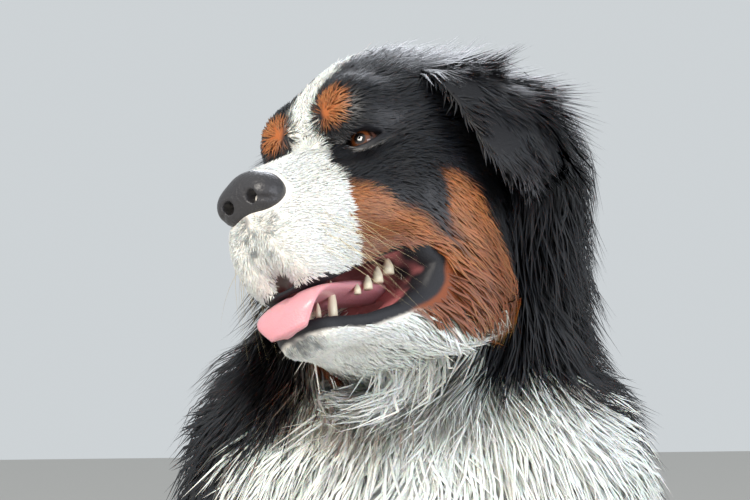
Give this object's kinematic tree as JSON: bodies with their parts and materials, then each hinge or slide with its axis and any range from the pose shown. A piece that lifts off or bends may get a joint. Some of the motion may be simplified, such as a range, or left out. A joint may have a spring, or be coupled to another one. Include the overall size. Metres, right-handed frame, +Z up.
{
  "type": "dog figure",
  "caption": "Sitting long-coated mountain dog, life-size, head turned to its right, mouth open, tongue out, tail laid on the floor.",
  "frame": {"origin": "on the floor, under the middle of the dog's box", "axes": "+Z up; the chest faces -Y and the dog's left side is +X"},
  "size_m": [0.6142, 0.8268, 0.8319],
  "materials": {
    "coat_black": "long black coat",
    "coat_white": "long white coat",
    "coat_head": "short black coat with tan and white markings",
    "coat_jaw": "short white coat, dark lips and ivory teeth",
    "nose_leather": "moist black skin",
    "tongue": "moist pink skin",
    "eye": "moist dark brown eye",
    "coat_ear": "short soft black coat",
    "coat_tail": "long black coat with a white tip",
    "coat_tan": "rust tan coat",
    "coat_paw": "short white coat with dark claws"
  },
  "bodies": {
    "root": {"chest": "coat_white", "ear_left": "coat_ear", "ear_right": "coat_ear", "eye_left": "eye", "eye_right": "eye", "foreleg_left": "coat_tan", "foreleg_right": "coat_tan", "forepaw_left": "coat_paw", "forepaw_right": "coat_paw", "haunch_left": "coat_black", "haunch_right": "coat_black", "head": "coat_head", "hindpaw_left": "coat_paw", "hindpaw_right": "coat_paw", "jaw": "coat_jaw", "neck": "coat_black", "nose": "nose_leather", "tail_base": "coat_black", "tail_plume": "coat_tail", "tongue": "tongue", "torso": "coat_black"}
  },
  "joints": []
}
